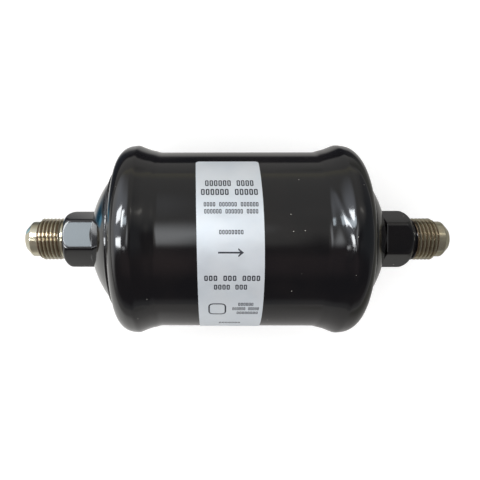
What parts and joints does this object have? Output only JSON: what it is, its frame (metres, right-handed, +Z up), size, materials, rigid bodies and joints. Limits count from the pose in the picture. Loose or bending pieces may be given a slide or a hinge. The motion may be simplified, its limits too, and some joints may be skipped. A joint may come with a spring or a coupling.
{
  "type": "filter drier",
  "caption": "Sealed steel barrel with swollen ends and a male flare fitting at each end; dries and filters liquid refrigerant flowing along its axis.",
  "frame": {"origin": "centre of the body, on its axis", "axes": "+X along the flow, towards the outlet; +Z up out of the printed side of the barrel"},
  "size_m": [0.1592, 0.0702, 0.0702],
  "materials": {
    "black_enamel": "gloss black enamel, slight orange peel",
    "plated_steel": "zinc plated and passivated, olive gold on thread and nose, hexagon painted black",
    "label_film": "printed silver-white film",
    "bare_steel": "bright pressed steel",
    "wire_mesh": "fine woven wire",
    "fibre_felt": "white fibre felt",
    "desiccant": "moulded desiccant, matt"
  },
  "bodies": {
    "root": {"shell": "black_enamel", "inlet_end_cap": "black_enamel", "outlet_end_cap": "black_enamel", "inlet_seam_weld": "black_enamel", "outlet_seam_weld": "black_enamel", "inlet_braze_ring": "black_enamel", "outlet_braze_ring": "black_enamel", "inlet_flare_fitting": "plated_steel", "outlet_flare_fitting": "plated_steel", "rating_label": "label_film", "outlet_support_plate": "bare_steel", "spring_plate": "bare_steel", "core_spring": "bare_steel", "outlet_screen": "wire_mesh", "outlet_filter_pad": "fibre_felt", "core_gasket": "fibre_felt", "desiccant_core": "desiccant"}
  },
  "joints": []
}
